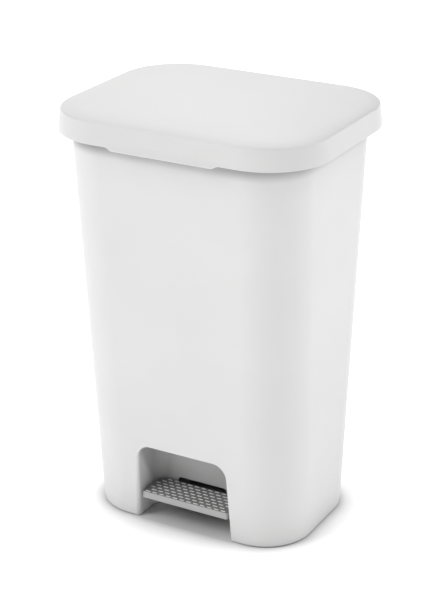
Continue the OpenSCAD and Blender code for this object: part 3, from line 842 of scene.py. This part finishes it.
def lid_line():
    """The lid's whole wall as points (inset, height): outside, foot of the skirt, inside."""
    outside = smooth_line(lid_profile(0.0))
    inside = smooth_line(lid_profile(LID_WALL))
    outside[:, 1] += LID_FOOT
    inside[:, 1] += LID_FOOT
    inside = inside[(inside[:, 1] > LID_FOOT + 0.5 * MM) & (inside[:, 0] < 166 * MM)]
    outer_r, inner_r = 1.1 * MM, 0.5 * MM
    rim = [
        (outer_r * (1 - math.cos(t)), LID_FOOT + outer_r * (1 - math.sin(t)))
        for t in np.radians(np.linspace(0, 90, 6))
    ]
    rim += [
        (LID_WALL - inner_r * (1 - math.sin(t)), LID_FOOT + inner_r * (1 - math.cos(t)))
        for t in np.radians(np.linspace(0, 90, 4))
    ]
    outside = outside[outside[:, 1] > LID_FOOT + outer_r + 0.4 * MM]
    return [tuple(p) for p in outside[::-1]] + rim + [tuple(p) for p in inside]


def pull_lip(lid):
    """The finger lip: the front of the skirt's foot swells forward and down."""
    vertices = lid.data.vertices
    place = np.empty(len(vertices) * 3)
    vertices.foreach_get("co", place)
    place = place.reshape(-1, 3)
    ramp = np.clip((LIP_W / 2 + 1 * MM - abs(place[:, 0])) / (11 * MM), 0, 1)
    ramp = ramp * ramp * (3 - 2 * ramp)
    low = np.clip((LID_FOOT + 8 * MM - place[:, 2]) / (8 * MM), 0, 1)
    front = place[:, 1] < -LID_D / 2 + 12 * MM
    pull = ramp * low**1.6 * front
    place[:, 2] -= LIP_H * pull
    place[:, 1] -= LIP_OUT * pull
    vertices.foreach_set("co", place.ravel())
    lid.data.update()


def build_lid():
    """The lid: a crowned shell with a skirt and finger lip, hinge knuckles and bosses."""
    lid = walls(
        "lid_shell",
        [(u, lid_corner(max(u, 0)), v) for u, v in lid_line()],
        foot_width=LID_W,
        foot_depth=LID_D,
        corner_steps=32,
        side_steps=64,
    )
    pull_lip(lid)

    # Hinge knuckles on webs from the skirt, and bosses under the crown for the horn's screws
    parts, holes = [], []
    web_half = 3.8 * MM
    web = [
        (HINGE.y, HINGE.z - web_half),
        (LID_D / 2 - 1.6 * MM, HINGE.z - web_half),
        (LID_D / 2 - 2.4 * MM, HINGE.z + web_half),
        (HINGE.y, HINGE.z + web_half),
    ]
    half, reach = KNUCKLE_W / 2, KNUCKLE_W
    for x in (-HINGE.x, HINGE.x):
        near, far = (x - half, HINGE.y, HINGE.z), (x + half, HINGE.y, HINGE.z)
        parts.append(post("knuckle", near, far, KNUCKLE_R, 40))
        parts.append(prism("web", web, x - half, x + half, lambda u, v, w: (w, u, v)))
        near, far = (x - reach, HINGE.y, HINGE.z), (x + reach, HINGE.y, HINGE.z)
        holes.append(post("bore", near, far, PIN_BORE_R, 40))
    screw_lo, screw_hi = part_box("horn_screws")
    y, seat = (screw_lo.y + screw_hi.y) / 2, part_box("lift_horn")[1].z
    for x in (-HORN_SCREW_X, HORN_SCREW_X):
        root = (x, y, LID_FOOT + 34 * MM)
        parts.append(post("boss", root, (x, y, seat), 4 * MM, 32, 0.5 * MM))
        holes.append(post("hole", (x, y, seat - 1 * MM), (x, y, seat + 8 * MM), PILOT_R, 20))
    combine(lid, parts, "UNION")
    combine(lid, holes, "DIFFERENCE")
    return shade(lid, 40)


# ---------------------------------------------------------------- pedal tread


def tread_outline(grow):
    """The tread's plan drawn in by grow: tight front corners, wide back corners."""
    half = (tread_hi.x - tread_lo.x) / 2 - grow
    front, back = tread_lo.y + grow, tread_hi.y - grow
    tight, wide = max(3.2 * MM - grow, 0.7 * MM), TREAD_BACK_R - grow
    right = arc(half - tight, front + tight, tight, -90, 0, 8)
    right += arc(half - wide, back - wide, wide, 0, 90, 16)
    return right + [(-x, y) for x, y in reversed(right)]


def bar_tree():
    """Staggered rows of grip bars: each a low lozenge with round ends, on a flat top."""
    tree, net, read = start_tree(
        "grip bars",
        [
            ("Bars", "Int", 12),
            ("Rows", "Int", 7),
            ("Pitch", "Float", 0.0117),
            ("Row pitch", "Float", 0.0077),
            ("Length", "Float", 0.0076),
            ("Width", "Float", 0.0034),
            ("Height", "Float", 0.0008),
            ("First row", "Float", 0.0),
            ("Top", "Float", 0.0),
            ("Corner", "Float", 0.016),
            ("Back edge", "Float", 0.0),
            ("Half width", "Float", 0.07),
            ("Material", "Material", None),
        ],
    )
    bars, length, width = read("Bars"), read("Length"), read("Width")
    index = net.add("GeometryNodeInputIndex")
    row = net.math("FLOOR", (index + 0.5) / bars)
    place = index - row * bars
    odd = net.math("MODULO", row, 2.0)
    x = (place - (bars - 1 - odd) * 0.5) * read("Pitch")
    y = read("First row") + row * read("Row pitch")
    points = net.add(
        "GeometryNodePoints",
        None,
        {"Count": bars * read("Rows"), "Position": net.vector(x, y, read("Top"))},
    )
    # The short rows have one bar less, and no bar hangs over the rounded back corners
    spare = net.math("GREATER_THAN", place + odd, bars - 0.5)
    corner = read("Corner")
    over_x = net.math("ABSOLUTE", x) + length * 0.5 - read("Half width") + corner
    over_y = y + width * 0.5 - read("Back edge") + corner
    over_x, over_y = net.math("MAXIMUM", over_x, 0.0), net.math("MAXIMUM", over_y, 0.0)
    reach = (corner - 0.6 * MM) ** 2.0
    outside = net.math("GREATER_THAN", over_x * over_x + over_y * over_y, reach)
    kept = net.add(
        "GeometryNodeDeleteGeometry",
        {"domain": "POINT"},
        {"Geometry": points, "Selection": net.math("MAXIMUM", spare, outside)},
    )
    # A ball is parted in the middle, drawn out to the bar's length and pressed flat
    ball = net.add(
        "GeometryNodeMeshUVSphere", None, {"Segments": 20, "Rings": 10, "Radius": 0.5}, "Mesh"
    )
    bx, by, bz = net.xyz(net.add("GeometryNodeInputPosition"))
    side = net.math("SIGN", net.math("SNAP", bx, 0.001))
    drawn = net.vector(
        bx * width + side * (length - width) * 0.5, by * width, bz * read("Height") * 2.0
    )
    shaped = net.add("GeometryNodeSetPosition", None, {"Geometry": ball, "Position": drawn})
    laid = net.add("GeometryNodeInstanceOnPoints", None, {"Points": kept, "Instance": shaped})
    return end_tree(tree, net, laid, read("Material"))


def build_tread(material):
    """The pedal tread: a shallow tray upside down, with grip bars on its top."""
    low, top, under = tread_lo.z, TREAD_TOP, TREAD_TOP - TREAD_PLATE
    edge, foot = 1.3 * MM, 0.7 * MM
    profile = [(TREAD_WALL, under), (TREAD_WALL, low + 0.4 * MM), (TREAD_WALL - 0.4 * MM, low)]
    profile += [
        (foot * (1 - math.sin(t)), low + foot * (1 - math.cos(t)))
        for t in np.radians(np.linspace(0, 90, 5))
    ]
    profile += [
        (edge * (1 - math.cos(t)), top - edge * (1 - math.sin(t)))
        for t in np.radians(np.linspace(0, 90, 7))
    ]
    rings = [[(x, y, z) for x, y in tread_outline(grow)] for grow, z in profile]
    tread = skin("tread_body", rings)

    # A rib stands each side of the lever, whose plate comes in through the back wall
    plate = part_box("pedal_lever")[1].x
    front, back = tread_lo.y + 1.5 * MM, tread_hi.y - 1.5 * MM
    ribs = []
    for side in (-1, 1):
        inner, outer = sorted((side * (plate + 3 * MM), side * (plate + 6 * MM)))
        corner = (outer, back, under + 1 * MM)
        ribs.append(block("rib", (inner, front, low + 0.5 * MM), corner))
    combine(tread, ribs, "UNION")
    window = block(
        "window",
        (-plate - 0.5 * MM, tread_hi.y - TREAD_WALL - 1 * MM, low - 1 * MM),
        (plate + 0.5 * MM, tread_hi.y + 1 * MM, under),
    )
    combine(tread, window, "DIFFERENCE")

    bars = new_object("grip_bars", bpy.data.meshes.new("grip_bars"))
    run_tree(bars, bar_tree(), {
        "Bars": 12, "Rows": 7, "Pitch": 11.7 * MM, "Row pitch": 7.7 * MM,
        "Length": 8.4 * MM, "Width": 2.7 * MM, "Height": 0.8 * MM,
        "First row": tread_lo.y + 2.9 * MM, "Top": top, "Corner": TREAD_BACK_R,
        "Back edge": tread_hi.y, "Half width": tread_hi.x, "Material": material,
    })
    close_mesh(bars.data)
    combine(tread, bars, "UNION")
    return shade(tread, 30)


# ---------------------------------------------------------------- screws


def cross_screw(head_d, head_h, shank_d, length):
    """One cross-recessed pan-head screw along -Z, its head's seat at z = 0."""
    r, s = head_d / 2, shank_d / 2
    root, pitch = s * 0.8, 0.9 * MM
    profile = [(s * 0.25, -length), (root, -length + 1.2 * MM)]
    for i in range(int(length / pitch) - 2):
        z = -length + 1.6 * MM + i * pitch
        profile += [(root, z), (s, z + 0.3 * MM), (s, z + 0.4 * MM), (root, z + 0.7 * MM)]
    profile += [(root, -0.3 * MM), (s, 0), (r * 0.96, 0), (r, 0.25 * MM), (r, head_h * 0.42)]
    profile += [
        (r * math.cos(t), head_h * (0.42 + 0.58 * math.sin(t)))
        for t in np.radians(np.linspace(15, 82, 7))
    ]
    screw = lathe("screw", profile, 28)

    # The cross: two bars that narrow as they go down
    for turn in (0, math.pi / 2):
        spin = Matrix.Rotation(turn, 3, "Z")
        rings = []
        for z, taper in ((head_h + 0.5 * MM, 1.2), (head_h * 0.25, 0.55)):
            u, v = r * 0.55 * taper, 0.42 * MM * taper
            ring = [(-u, -v, z), (u, -v, z), (u, v, z), (-u, v, z)]
            rings.append([spin @ Vector(point) for point in ring])
        combine(screw, skin("cross", rings), "DIFFERENCE")
    return screw


def screw_tree():
    """The same screw at each point, turned to the point's own direction and spun at random."""
    tree, net, read = start_tree(
        "screws on points",
        [
            ("Points", "Geometry", None),
            ("Screw", "Object", None),
            ("Size", "Float", 1.0),
            ("Seed", "Int", 7),
            ("Material", "Material", None),
        ],
    )
    aim = net.add(
        "GeometryNodeInputNamedAttribute", {"data_type": "FLOAT_VECTOR"}, {"Name": "aim"}, "Attribute"
    )
    upright = net.add("FunctionNodeAlignRotationToVector", {"axis": "Z"}, {"Vector": aim})
    spin = net.add(
        "FunctionNodeRandomValue",
        {"data_type": "FLOAT"},
        {"Min": 0.0, "Max": 2 * math.pi, "Seed": read("Seed")},
        "Value",
    )
    spin = net.add("FunctionNodeAxisAngleToRotation", None, {"Axis": (0, 0, 1), "Angle": spin})
    turned = net.add(
        "FunctionNodeRotateRotation",
        {"rotation_space": "LOCAL"},
        {"Rotation": upright, "Rotate By": spin},
    )
    screw = net.add("GeometryNodeObjectInfo", None, {"Object": read("Screw")}, "Geometry")
    size = read("Size")
    laid = net.add(
        "GeometryNodeInstanceOnPoints",
        None,
        {
            "Points": read("Points"),
            "Instance": screw,
            "Rotation": turned,
            "Scale": net.vector(size, size, size),
        },
    )
    return end_tree(tree, net, laid, read("Material"))


SCREWS = screw_tree()


def screws(name, places, aim, length, body, node, material, seed):
    """A set of screws whose heads seat at the given places and point along aim."""
    one = cross_screw(SCREW_HEAD_D, SCREW_HEAD_H, SCREW_D, length)
    mesh = bpy.data.meshes.new(name)
    mesh.from_pydata([tuple(p) for p in places], [], [])
    field = mesh.attributes.new("aim", "FLOAT_VECTOR", "POINT")
    field.data.foreach_set("vector", np.tile(np.array(aim, np.float32), len(places)))
    obj = new_object(name, mesh)
    run_tree(obj, SCREWS, {"Screw": one, "Size": 1.0, "Seed": seed, "Material": material})
    bpy.data.objects.remove(one)
    shade(obj, 35)
    place_piece(obj, body, "steel", material, node)
    return obj


# ---------------------------------------------------------------- assembly


def place_piece(obj, body, slot, material, *replaced):
    """Gives a piece its material, its body and the CAD nodes that it stands for, which are hidden;
    slot is not used.
    """
    dress(obj, material)
    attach(obj, body)
    if replaced:
        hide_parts(*replaced)
    return obj


white = moulded_plastic("satin white plastic", 0.64, (1.0, 1.0, 0.998), 0.42, 0.10, 0.04, 0.10)
lid_white = moulded_plastic("satin white lid plastic", 0.62, (1.0, 1.0, 0.998), 0.38, 0.10, 0.04)
bracket_white = moulded_plastic("white bracket plastic", 0.66, (1.0, 1.0, 0.995), 0.45, 0.14, 0.06)
tread_grey = worn_and_highlit_grey("trodden grey plastic", 0.385, 0.46)
lever_grey = moulded_plastic("grey lever plastic", 0.15, (1.0, 1.0, 1.01), 0.48, 0.2, 0.12)
dark_plastic = moulded_plastic("dark slider plastic", 0.035, (1.0, 1.0, 1.03), 0.4, 0.2, 0.1)
rubber = soft_rubber("soft rubber")
steel_across = plated_steel("plated steel pins", (1.0, 12.0, 12.0), 0.24)
steel_upright = plated_steel("plated steel rod", (12.0, 12.0, 0.6), 0.2)
steel_screw = plated_steel("plated steel screws", (4.0, 4.0, 4.0), 0.26)

place_piece(build_tub(), "bin", "white_plastic", white, "tub")
place_piece(build_lid(), "lid", "white_plastic", lid_white, "lid")
place_piece(build_tread(tread_grey), "pedal", "grey_plastic", tread_grey, "pedal_tread")

def place_screws():
    """The four sets of screws: the hinge brackets' on the back wall, the others pointing down."""
    back_out = Vector((0, math.cos(LEAN), -math.sin(LEAN)))
    heads = [
        on_back(side * HINGE.x + step, 2 * MM, BRACKET_SCREW_UP)
        for side in (-1, 1)
        for step in (-BRACKET_SCREW_X, BRACKET_SCREW_X)
    ]
    screws("hinge_screw_set", heads, back_out, 8 * MM, "bin", "hinge_screws", steel_screw, 3)
    inset = SCREW_HEAD_D / 2
    for label, node, body, seed in (
        ("bearing_screw_set", "bearing_screws", "bin", 5),
        ("horn_screw_set", "horn_screws", "lid", 11),
        ("tread_screw_set", "tread_screws", "pedal", 17),
    ):
        low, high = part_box(node)
        one_row = high.y - low.y < 10 * MM
        ys = ((low.y + high.y) / 2,) if one_row else (low.y + inset, high.y - inset)
        xs = (low.x + inset, high.x - inset)
        heads = [(x, y, low.z + SCREW_HEAD_H) for x in xs for y in ys]
        length = high.z - low.z - SCREW_HEAD_H
        screws(label, heads, (0, 0, -1), length, body, node, steel_screw, seed)


place_screws()


def soften(node, width, material, angle=35):
    """Gives a CAD piece its finish and a small rounding on its edges."""
    obj = nodes[node]
    dress(obj, material)
    weld = obj.modifiers.new("weld", "WELD")
    weld.merge_threshold = 1e-6
    flat = obj.modifiers.new("one face each", "DECIMATE")
    flat.decimate_type, flat.angle_limit = "DISSOLVE", math.radians(0.5)
    if width:
        edge = obj.modifiers.new("soft edges", "BEVEL")
        edge.width, edge.segments = width, 2
        edge.limit_method, edge.angle_limit = "ANGLE", math.radians(angle)
        edge.use_clamp_overlap = True
    return obj


for name in ("hinge_bracket_left", "hinge_bracket_right", "lift_horn"):
    soften(name, 0.4 * MM, bracket_white)
for name in ("bearing_left", "bearing_right", "pedal_lever"):
    soften(name, 0.4 * MM, lever_grey)
for name in ("rod_head", "rod_foot", "guide_upper", "guide_middle", "guide_lower"):
    soften(name, 0.35 * MM, dark_plastic)
for name in ("hinge_pin_left", "hinge_pin_right", "horn_pin", "lever_pin", "pivot_axle"):
    soften(name, 0.3 * MM, steel_across)
soften("axle_clips", 0.2 * MM, steel_screw)
soften("lift_rod", 0.3 * MM, steel_upright)
for name in ("foot_pads", "lid_pads"):
    soften(name, 0.3 * MM, rubber)


# ---------------------------------------------------------------- studio

FLOOR_HALF = 200.0
FLOOR_GLOW, GLOW_REACH = 0.4, 32 * MM
FOOT_SHADOW_PAINT, SHADOW_PAINT_REACH = 0.28, 12 * MM


def build_floor():
    """A plain pale floor, with a contact shadow painted on it close round the bin, and glowing from
    within past that.
    """
    mesh = bpy.data.meshes.new("studio_floor")
    corners = [(x * FLOOR_HALF, y * FLOOR_HALF, 0) for x, y in ((-1, -1), (1, -1), (1, 1), (-1, 1))]
    mesh.from_pydata(corners, [], [(0, 1, 2, 3)])
    floor = new_object("studio_floor", mesh)
    material, net, shader, place = start_finish("pale studio floor", Specular_IOR_Level=0.0)
    cloud = noise(net, place, 2.5, 3.0)
    grain = noise(net, place, 700.0, 2.0)
    colour = net.blend(cloud, rgba(0.925), rgba(0.935))
    # How far each place is from the foot of the tub's walls
    x, y = net.xyz(place)[:2]
    past_x = net.math("ABSOLUTE", x) - (BASE_W / 2 - CORNER_R)
    past_y = net.math("ABSOLUTE", y - BASE_BACK) - (BASE_D / 2 - CORNER_R)
    past_x, past_y = net.math("MAXIMUM", past_x, 0.0), net.math("MAXIMUM", past_y, 0.0)
    clear = net.math("MAXIMUM", (past_x * past_x + past_y * past_y) ** 0.5 - CORNER_R, 0.0)
    near = net.math("EXPONENT", clear * (-1 / SHADOW_PAINT_REACH))
    # A contact shadow painted on the floor close round the bin
    colour = net.blend(near * FOOT_SHADOW_PAINT, colour, rgba(0.0))
    away = 1 - net.math("EXPONENT", clear * (-1 / GLOW_REACH))
    glow = net.blend(away, rgba(0.0), rgba(FLOOR_GLOW))
    net.tree.links.new(glow.socket, shader.inputs["Emission Color"])
    shader.inputs["Emission Strength"].default_value = 1.0
    end_finish(net, shader, colour, 0.85 + grain * 0.05, grain, 0.02, 0.0001)
    dress(floor, material)


def soft_sun(name, from_where, spread, strength):
    """A broad even light from one side of the studio, spread over that many degrees."""
    light = bpy.data.lights.new(name, "SUN")
    light.angle, light.energy = math.radians(spread), strength
    obj = bpy.data.objects.new(name, light)
    scene.collection.objects.link(obj)
    obj.rotation_euler = Vector(from_where).to_track_quat("Z", "Y").to_euler()
    return obj


def build_studio():
    """The room's even white light and five broad suns."""
    world = bpy.data.worlds.new("studio")
    scene.world = world
    world.use_nodes = True
    net = Net(world.node_tree)
    background = world.node_tree.nodes["Background"]
    background.inputs["Strength"].default_value = 1.0
    # A white wall stands round the studio, as high as the views look; above it the room is dim
    height = net.xyz(net.add("ShaderNodeTexCoord", None, None, "Generated"))[2]
    sky = net.blend(net.smooth(height, 0.1, 0.3), rgba(1.0), rgba(0.24))
    net.tree.links.new(sky.socket, background.inputs["Color"])
    soft_sun("front left light", (-0.95, -1.0, 1.2), 30, 1.3)
    soft_sun("right light", (0.70, 0.43, 0.57), 50, 0.73)
    soft_sun("top light", (0.1, 0.2, 1.0), 80, 1.22)
    soft_sun("back left light", (-0.8, 0.9, 0.8), 50, 0.45)
    soft_sun("sheen on the lid", (-1.16, 2.12, 1.05), 12, 0.06)


def build_camera():
    """The camera, in front of the bin, to its right and a little above the lid."""
    camera = bpy.data.cameras.new("camera")
    camera.lens, camera.sensor_width, camera.sensor_fit = 104.57, 36.0, "AUTO"
    camera.clip_start, camera.clip_end = 0.05, 60.0
    obj = bpy.data.objects.new("camera", camera)
    scene.collection.objects.link(obj)
    back = Vector((0.4437, -0.8074, 0.3888)).normalized()
    right = Vector((0.8764, 0.4816, 0.0)).normalized()
    up = back.cross(right).normalized()
    turn = Matrix((right, up, back)).transposed().to_4x4()
    obj.matrix_world = Matrix.Translation((1.1616, -2.1211, 1.3424)) @ turn
    scene.camera = obj


scene.view_settings.view_transform = "Standard"
build_floor()
build_studio()
build_camera()
